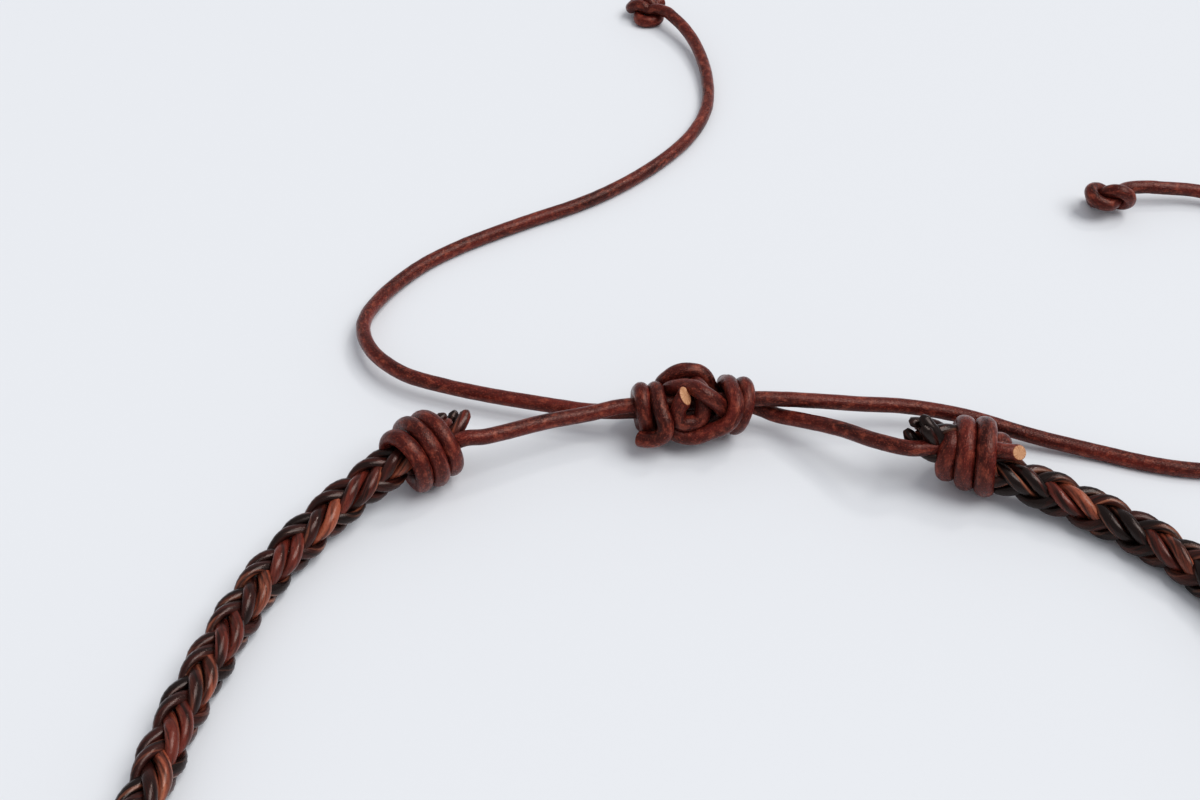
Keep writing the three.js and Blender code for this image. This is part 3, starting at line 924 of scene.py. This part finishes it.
dye = blend(nodes, mask(nodes, place, **DARK_STREAKS), dye, ESPRESSO)
dye = blend(nodes, mask(nodes, place, **RED_STREAKS), dye, RED_BROWN)
section = add(nodes, "ShaderNodeSeparateXYZ", {0: stored(nodes, "section", "Vector")}).outputs
from_middle = calc(nodes, "ABSOLUTE", section[1])
edge = calc(nodes, "MULTIPLY", between(nodes, from_middle, *EDGE_BEGINS),
            between(nodes, from_middle, *EDGE_ENDS, 1.0, 0.0))
rubbed = calc(nodes, "MULTIPLY", edge, mask(nodes, place, **RUBBED))
dye = blend(nodes, rubbed, dye, WORN_EDGE)
dye = blend(nodes, mask(nodes, place, **PLAIT_SPECKS), dye, ESPRESSO)
nodes.links.new(dye, shader.inputs["Base Color"])
print("colour nodes of the plait leather:", len(nodes.nodes))

# %% [markdown]
# The strands are rubbed smoother than the cord by wearing, so they shine more and have a finer grain. New
# nodes could be written for them, but the helpers of the cord leather serve again with other numbers.

# %% Shine of the plait leather
PLAIT_SHINE = {"scale": (2.5, 2.5, 0.6), "detail": 4.0, "low": 0.3, "high": 0.7, "least": 0.18, "most": 0.34}
PLAIT_CRACKS = 2.0
PLAIT_GRAIN = {"strength": 0.40, "depth": 0.05 * MM}
PLAIT_GLOSS = 0.42
SOFT_GLINT = (1.0, 0.86, 0.80, 1.0)

nodes.links.new(mask(nodes, place, **PLAIT_SHINE), shader.inputs["Roughness"])
cracks = crackle(nodes, place, PLAIT_CRACKS)
nodes.links.new(grain_bump(nodes, place, cracks, **PLAIT_GRAIN), shader.inputs["Normal"])
shader.inputs["Specular IOR Level"].default_value = PLAIT_GLOSS
shader.inputs["Specular Tint"].default_value = SOFT_GLINT
print(plait_leather.name, "has", len(nodes.nodes), "nodes")

# %% [markdown]
# Now the plait tree can run. The sizes were measured in the picture: a pair comes back on top after 13
# mm, and the strands are about 1.5 mm thick, pressed a little flat. A few more places at both ends of the
# route let the tips narrow smoothly.

# %% Make the plait
TIP_STEPS = (0.2, 0.5, 0.8)
PLAIT_VALUES = {
    "Pitch": 13.12 * MM, "Phase": 0.178, "Swing": 1.98 * MM, "Sink": 0.88 * MM, "Pair Gap": 0.84 * MM,
    "Pair Drop": 0.12 * MM, "Pair Lean": 0.35, "Left Face": math.radians(-42.0),
    "Right Face": math.radians(48.0), "Squeeze": 0.96, "Squeezed To": 7.0 * MM, "Full From": 12.5 * MM,
    "Left Loose": 6.0 * MM, "Right Loose": 8.0 * MM, "Left Rise": 1.5 * MM, "Right Rise": 3.9 * MM,
    "Left Trim": 1.3 * MM, "Right Trim": 0.0, "Scatter": 0.5 * MM, "Uneven Ends": 1.2 * MM,
    "Rounded Tip": 0.5 * MM, "Width": 1.64 * MM, "Thickness": 1.40 * MM, "Sides": 12, "Lump Scale": 0.8,
    "Lump Height": 0.10 * MM, "Leather": plait_leather,
}

first_tip = [braid_path[0] + share * (braid_path[1] - braid_path[0]) for share in TIP_STEPS]
last_tip = [braid_path[-2] + share * (braid_path[-1] - braid_path[-2]) for share in TIP_STEPS]
braid_rows = np.vstack([braid_path[:1], first_tip, braid_path[1:-1], last_tip, braid_path[-1:]])
braid_line = bpy.data.meshes.new("braid")
braid_line.from_pydata(braid_rows * MM, [(i, i + 1) for i in range(len(braid_rows) - 1)], [])
braid = run_tree("plaited_loop", braid_line, plait, PLAIT_VALUES)
place_piece(braid, "braid")

# %% [markdown]
# ## End wraps
# At each end of the plait the tie's own cord is whipped round it in three tight turns. Rings side by side
# would look stamped, so the turns are a helix, which winds over the front at the right and over the back
# at the left. Its first end comes up from inside the wrap, and its last end goes over the top once more
# and dives under again, so the radius dips at both ends.

# %% Line of a wrap
WRAP_DIP = 3.0
TOPS_LEVEL = 0.4
DEGREES_PER_RING = 5.0
LEAN_REACH = 140.0
QUARTER_TURN = 90.0
FULL_TURN = 360.0


def towards_end(angle, end, reach):
    """Rises from 0 to 1 over the last stretch before an end of the helix."""
    return np.clip(1.0 - np.abs(end - angle) / reach, 0.0, 1.0)


def wrap_line(spacing, radii, over_front, ends, dips, leans):
    """A whipping helix; angles are degrees from the top, over the front or over the back of the wrap."""
    angle = np.arange(ends[0], ends[1] + DEGREES_PER_RING, DEGREES_PER_RING)
    front = QUARTER_TURN if over_front else FULL_TURN - QUARTER_TURN
    turns = (angle - front) / FULL_TURN - 1.0
    full = np.interp(turns, (-1.0, 0.0, 1.0), radii)
    sunk = np.zeros_like(angle)
    along = spacing * turns
    for end, dip, lean in zip(ends, dips, leans):
        sunk += towards_end(angle, end, dip) ** 2
        along += lean * towards_end(angle, end, LEAN_REACH)
    turn = np.radians(angle if over_front else -angle)
    outward = np.column_stack([np.zeros_like(turn), -np.sin(turn), np.cos(turn)])
    middle = np.column_stack([along, np.zeros_like(turn), TOPS_LEVEL * (max(radii) - full)])
    return outward * (full - WRAP_DIP * sunk)[:, None] + middle, outward


print("rings in a full turn:", int(FULL_TURN / DEGREES_PER_RING))

# %% [markdown]
# Where the cord is pulled tight it is pressed a little flat, with its outer side away from the plait, so
# it is wider along the wrap than it is thick. The turns differ in size, as they do on the real wraps, and
# the largest one rests on the table.

# %% End wraps
WRAP_CORD_HALF = 1.0
LEFT_WRAP = {"place": (-35.75, 68.3), "degrees": 36.0, "radii": (3.6, 4.0, 3.7), "width": 2.3}
LEFT_HELIX = {"spacing": -2.2, "over_front": False, "ends": (100.0, 1180.0), "dips": (70.0, 115.0),
              "leans": (0.0, -1.1)}
RIGHT_WRAP = {"place": (31.3, 67.9), "degrees": -15.0, "radii": (3.12, 3.69, 4.0), "width": 2.5}
RIGHT_HELIX = {"spacing": 2.45, "over_front": True, "ends": (-50.0, 1045.0), "dips": (100.0, 100.0),
               "leans": (1.24, 0.0)}


def turned(points, centre, degrees):
    """Points turned in plan and moved to a centre."""
    angle = math.radians(degrees)
    plan = np.array([[math.cos(angle), -math.sin(angle), 0.0], [math.sin(angle), math.cos(angle), 0.0],
                     [0.0, 0.0, 1.0]])
    return points @ plan.T + np.array(centre)


def make_wrap(name, helix, place, degrees, radii, width):
    """The turns of one wrap as a flattened cord that rests on the table."""
    line, outward = wrap_line(radii=radii, **helix)
    centre = (place[0], place[1], max(radii) + WRAP_CORD_HALF)
    outward = turned(outward, (0.0, 0.0, 0.0), degrees)
    mesh = cord_line_mesh(name, turned(line, centre, degrees), outward)
    return run_tree(name, mesh, cord_tree, CORD_VALUES | {"Width": width * MM})


left_wrap = make_wrap("left_wrap", LEFT_HELIX, **LEFT_WRAP)
right_wrap = make_wrap("right_wrap", RIGHT_HELIX, **RIGHT_WRAP)
place_piece(left_wrap, "left_end_wrap")
place_piece(right_wrap, "right_end_wrap")

# %% [markdown]
# ## Slanted cuts
# A blade seldom cuts a cord straight across. Cutting the mesh with a plane would lose the rounded rim, so
# the rings near the cord's first end are slid along the cord, each point as far as it lies to one side.
# That leaves the cord as thick as it was.

# %% Slanted cuts
SLANT_REACH = 2.6


def slant_cut(piece, path, facing):
    """Turns the cut face at the start of a cord until it faces a direction."""
    axis = (path[0] - path[1]) / np.linalg.norm(path[0] - path[1])
    mesh = piece.data
    places = np.empty((len(mesh.vertices), 3), np.float32)
    straight = np.empty((len(mesh.vertices), 3), np.float32)
    mesh.vertices.foreach_get("co", places.ravel())
    mesh.attributes["straight"].data.foreach_get("vector", straight.ravel())
    share = np.clip(1.0 - straight[:, 2] / SLANT_REACH, 0.0, 1.0)
    aside = places / MM - path[0]
    aside -= (aside @ axis)[:, None] * axis
    slide = -(aside @ np.array(facing)) / (axis @ np.array(facing))
    places += ((share * slide)[:, None] * axis * MM).astype(np.float32)
    mesh.vertices.foreach_set("co", places.ravel())
    print(piece.name, "is cut at", round(math.degrees(math.acos(axis @ np.array(facing)))), "degrees")


print("slanted cuts reach", SLANT_REACH, "mm along a cord")

# %% [markdown]
# The whipping of the right wrap keeps its cut tail: a short stub that comes out from under the last turn,
# with its slanted face towards the viewer. It could be the end of the helix, but a short cord of its own
# is easier to aim.

# %% Cut tail of the right wrap
TAIL_ROUTE = [(36.75, 65.05, 7.9), (35.0, 65.3, 7.9), (33.2, 65.9, 7.8), (31.6, 66.6, 7.4)]
TAIL_FACING = (0.62, -0.58, 0.53)
tail_path = smooth_path(TAIL_ROUTE, CORD_SPACING)
wrap_tail = make_cord("right_wrap_tail", tail_path)
slant_cut(wrap_tail, tail_path, TAIL_FACING)
place_piece(wrap_tail, "right_end_wrap")

# %% [markdown]
# ## Sliding knot
# A separate short piece of the same cord is knotted round both ties, so that it slides along them and
# sets the length of the necklace. Its line is read from the picture: right, up and towards the viewer
# from the knot's middle, as the camera sees it. The hidden stretches behind take the shortest way round.

# %% Line of the sliding knot
KNOT_ROUTE = [
    (-0.3, 1.7, 4.1), (-1.25, 0.6, 4.1), (-1.85, -0.8, 3.6), (-1.45, -2.2, 2.9), (-0.3, -2.7, 2.4),
    (0.95, -2.2, 2.4), (1.5, -0.95, 2.7), (1.5, 0.5, 2.8), (1.2, 1.8, 2.2), (0.9, 2.7, 0.9),
    (0.7, 2.8, -0.9), (0.7, 1.6, -2.8), (1.2, -0.6, -3.3), (2.1, -2.0, -2.2), (3.1, -2.0, -0.5),
    (3.9, -1.7, 1.0), (4.3, -1.0, 2.2), (3.9, -0.2, 3.0), (2.6, 0.8, 3.9), (0.8, 1.8, 3.9),
    (-0.6, 2.5, 2.5), (-1.7, 2.4, 1.8), (-2.6, 2.2, 0.6), (-2.8, 1.9, -1.2), (-2.8, 0.6, -2.9),
    (-3.2, -0.6, -3.3), (-3.7, 0.6, -3.2), (-3.7, 2.0, -2.4), (-3.1, 3.1, -1.4), (-2.2, 4.1, -0.9),
    (-0.4, 4.6, -0.6), (1.1, 4.2, -0.8), (2.1, 3.2, -1.3), (2.8, 2.1, -2.2), (4.2, 1.3, -3.2),
    (5.9, 1.6, -2.9), (6.5, 2.7, -1.2), (6.7, 2.5, 0.9), (6.75, 0.8, 2.6), (6.6, -0.8, 2.8),
    (6.2, -2.1, 1.9), (5.6, -2.7, 0.0), (5.2, -1.8, -2.4), (4.9, 0.2, -3.4), (4.7, 2.0, -2.9),
    (4.75, 3.0, -1.0), (5.2, 2.8, 1.0), (5.7, 1.4, 3.0), (5.8, -0.2, 3.9), (5.0, -1.7, 3.7),
    (4.0, -2.6, 3.0), (2.6, -3.1, 2.5), (0.6, -3.45, 2.2), (-1.4, -3.4, 2.0), (-3.2, -3.0, 1.6),
    (-4.6, -2.7, 0.2), (-5.6, -2.2, -1.6), (-6.2, -0.6, -2.9), (-6.4, 1.0, -2.5), (-6.4, 1.9, -0.8),
    (-6.3, 1.8, 1.2), (-6.1, 0.4, 2.8), (-5.9, -1.0, 3.0), (-5.5, -2.3, 2.0), (-5.0, -2.9, 0.4),
    (-4.5, -2.3, -1.8), (-4.3, -0.6, -3.0), (-4.4, 1.0, -2.6), (-4.6, 2.0, -0.9), (-4.5, 2.1, 1.0),
    (-4.3, 1.2, 2.9), (-3.9, -0.4, 3.9), (-3.3, -2.1, 4.3), (-3.2, -3.2, 4.0), (-3.9, -4.0, 3.4),
    (-5.2, -4.2, 2.7), (-6.5, -3.95, 2.2),
]
print("points on the knot's line:", len(KNOT_ROUTE))

# %% [markdown]
# The line is turned from the camera's directions into the table's, and then settled round the two ties,
# which stay where they are. Points could be moved by hand until nothing overlaps, but the loop that drew
# the stopper knots tight does it in a moment.

# %% Settle the sliding knot
KNOT_MIDDLE = (-2.5, 77.0, 4.4)
KNOT_ROUNDS = 400
KNOT_TENSION = 0.08
KNOT_STAY = 0.03


def from_view(seen):
    """Turns right, up and towards the viewer into the table's directions."""
    right, up, near = np.array(seen).T
    drop_cos = math.cos(CAMERA_DROP)
    drop_sin = math.sin(CAMERA_DROP)
    return np.column_stack([right, up * drop_sin - near * drop_cos, up * drop_cos + near * drop_sin])


knot_path = from_view(smooth_path(KNOT_ROUTE, KNOT_SPACING)) + np.array(KNOT_MIDDLE)
overlap = worst_overlap(knot_path, CORD_WIDTH)
print("before settling the knot's cord lies", round(overlap, 2), "mm inside itself")
both_ties = np.vstack([left_tie_path, right_tie_path])
knot_path = settle(knot_path, CORD_WIDTH, both_ties, KNOT_ROUNDS, KNOT_TENSION, stay=KNOT_STAY)
knot_path = evenly(knot_path, KNOT_SPACING)
overlap = worst_overlap(knot_path, CORD_WIDTH)
print("after settling it lies", round(overlap, 2), "mm inside itself")
print("the knot takes", round(path_length(knot_path), 1), "mm of cord")

# %% [markdown]
# The knot is the same sweep as the ties, a little fuller, because cord spreads where it is pressed in a
# knot. Its upper end is a stub whose cut face is seen in front.

# %% Make the sliding knot
KNOT_CORD_WIDTH = 2.12 * MM
STUB_FACING = (0.72, 0.22, 0.66)
sliding_knot = make_cord("sliding_knot_cord", knot_path, Width=KNOT_CORD_WIDTH, Thickness=KNOT_CORD_WIDTH)
slant_cut(sliding_knot, knot_path, from_view([STUB_FACING])[0])
place_piece(sliding_knot, "sliding_knot")

# %% [markdown]
# ## Floor
# The necklace lies on a plain, nearly white floor. A floor could be a thick slab, but one large face is
# enough, because only its upper side is seen. It is so large that no edge of it shows behind the
# necklace.

# %% Floor
FLOOR_SIZE = 24.0
FLOOR_WHITE = (0.80, 0.815, 0.84, 1.0)
FLOOR_ROUGHNESS = 0.7

half = FLOOR_SIZE / 2
corners = [(-half, -half, 0.0), (half, -half, 0.0), (half, half, 0.0), (-half, half, 0.0)]
floor_mesh = bpy.data.meshes.new("board")
floor_mesh.from_pydata(corners, [], [(0, 1, 2, 3)])
floor = bpy.data.objects.new("board", floor_mesh)
bpy.context.scene.collection.objects.link(floor)
floor_finish, nodes, shader = new_material("white_board")
shader.inputs["Base Color"].default_value = FLOOR_WHITE
shader.inputs["Roughness"].default_value = FLOOR_ROUGHNESS
floor_mesh.materials.append(floor_finish)
print("floor is", FLOOR_SIZE, "m wide")

# %% [markdown]
# ## Light
# The necklace is seen in a bright room. A wide light high at the right gives the soft shadows, which fall
# to the left, a small faint one further back gives the glints, and a pale world lights the rest. Area
# lights would fall off towards the edges of the picture, so sun lights are used, which light the whole
# floor evenly.

# %% Light
import mathutils

ROOM_COLOUR = (0.93, 0.95, 1.0, 1.0)
ROOM_STRENGTH = 0.52


def soft_sun(name, towards, angle, strength, colour):
    """A wide soft light from one part of the room, equally strong all over the floor."""
    data = bpy.data.lights.new(name, "SUN")
    data.angle = math.radians(angle)
    data.energy = strength
    data.color = colour
    light = bpy.data.objects.new(name, data)
    light.rotation_euler = mathutils.Vector(towards).to_track_quat("Z", "Y").to_euler()
    bpy.context.scene.collection.objects.link(light)


soft_sun("ceiling", towards=(0.55, -0.18, 1.0), angle=40.0, strength=1.57, colour=(0.98, 0.99, 1.0))
soft_sun("window", towards=(0.50, 0.40, 0.85), angle=10.0, strength=0.32, colour=(1.0, 0.985, 0.96))
world = bpy.data.worlds.new("soft_room")
world.use_nodes = True
room_light = world.node_tree.nodes["Background"].inputs
room_light["Color"].default_value = ROOM_COLOUR
room_light["Strength"].default_value = ROOM_STRENGTH
bpy.context.scene.world = world
print("lights:", len(bpy.data.lights))

# %% [markdown]
# ## Tones
# A camera develops its picture with a tone curve: the darks are drawn a little deeper and the middle
# tones lifted, which makes dark leather look rich. The scene's colour management does the same here, with
# a curve through a few points, for all colours alike, on top of the plain display transform.

# %% Develop the picture
TONE_CURVE = ((0.02, 0.011), (0.06, 0.046), (0.15, 0.15), (0.40, 0.44), (0.80, 0.83))
ALL_COLOURS = 3

picture = bpy.context.scene.view_settings
picture.view_transform = "Standard"
picture.use_curve_mapping = True
tones = picture.curve_mapping.curves[ALL_COLOURS].points
for seen, shown in TONE_CURVE:
    tones.new(seen, shown)
picture.curve_mapping.update()
print("points on the tone curve:", len(tones))
